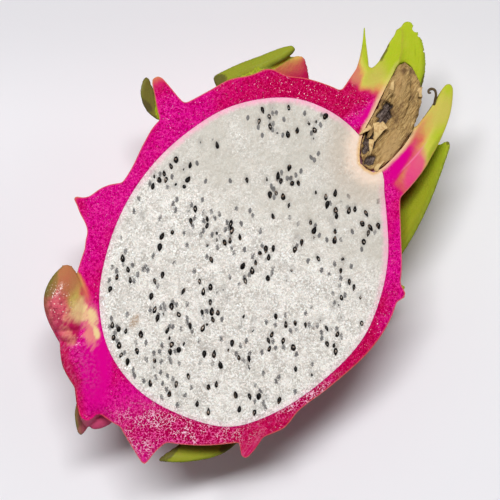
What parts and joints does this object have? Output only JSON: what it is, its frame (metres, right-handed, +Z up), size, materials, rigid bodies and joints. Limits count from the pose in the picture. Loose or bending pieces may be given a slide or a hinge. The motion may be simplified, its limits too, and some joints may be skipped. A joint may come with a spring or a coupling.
{
  "type": "halved dragon fruit",
  "caption": "Half a dragon fruit, cut lengthwise, on its rounded back with the seeded white flesh facing up.",
  "frame": {"origin": "centre of the small flat spot that the rounded back rests on", "axes": "+X along the fruit from the stem end to the crown, +Y to the left flank, +Z up out of the cut face"},
  "size_m": [0.1594, 0.1035, 0.0461],
  "materials": {
    "rind": "fresh magenta peel, green towards the tips of its scales",
    "flesh": "wet, translucent white pulp with black seeds",
    "dry_flower": "dry, papery brown"
  },
  "bodies": {
    "root": {"rind": "rind", "flesh": "flesh", "flower_remains": "dry_flower"}
  },
  "joints": []
}
